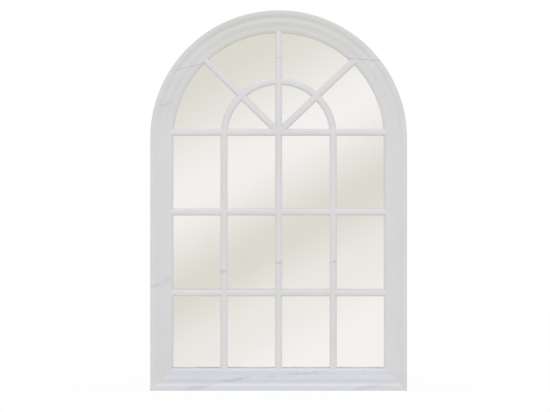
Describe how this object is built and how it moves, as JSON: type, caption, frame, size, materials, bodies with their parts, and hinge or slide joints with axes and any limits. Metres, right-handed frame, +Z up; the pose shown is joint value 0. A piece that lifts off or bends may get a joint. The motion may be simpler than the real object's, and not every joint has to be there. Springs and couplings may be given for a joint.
{
  "type": "window mirror",
  "caption": "Arched window mirror: moulded white marble frame, fanlight glazing bars over one mirror sheet, backing board and ring hangers for two wall hooks.",
  "frame": {"origin": "on the wall, half way between the two hooks that carry the rings", "axes": "+X to the viewer's right, +Y into the wall, +Z up; the mirror faces -Y"},
  "size_m": [0.81, 0.0447, 1.2],
  "materials": {
    "marble": "honed white marble with grey veins",
    "mirror": "silvered float glass, faintly warm",
    "board": "raw hardboard",
    "steel": "stainless steel rod",
    "zinc": "bright zinc plate",
    "resin": "grey stone resin",
    "nylon": "nylon",
    "rubber": "matt rubber"
  },
  "bodies": {
    "mirror": {"left_jamb": "marble", "right_jamb": "marble", "arch_crown": "marble", "bottom_rail": "marble", "centre_bar": "marble", "left_bar": "marble", "right_bar": "marble", "transom_bar": "marble", "upper_cross_bar": "marble", "lower_cross_bar": "marble", "left_spoke": "marble", "right_spoke": "marble", "left_arch_foot": "marble", "left_arch_top": "marble", "right_arch_foot": "marble", "right_arch_top": "marble", "crown_joint_resin": "resin", "crown_dowels": "steel", "mitre_dowels": "steel", "bar_pins": "steel", "mirror_glass": "mirror", "backing_board": "board", "board_screws": "zinc", "board_plugs": "nylon", "left_hanger_strap": "zinc", "right_hanger_strap": "zinc", "hanger_screws": "zinc", "hanger_plugs": "nylon", "wall_bumpers": "rubber"},
    "left_ring": {"left_hanger_ring": "zinc"},
    "right_ring": {"right_hanger_ring": "zinc"}
  },
  "joints": [
    {"name": "left_ring_swing", "type": "hinge", "parent": "mirror", "child": "left_ring", "pos_m": [-0.3825, -0.0047, -0.0185], "axis": [-1, 0, 0], "range_deg": [0, 175]},
    {"name": "right_ring_swing", "type": "hinge", "parent": "mirror", "child": "right_ring", "pos_m": [0.3825, -0.0047, -0.0185], "axis": [-1, 0, 0], "range_deg": [0, 175]}
  ]
}
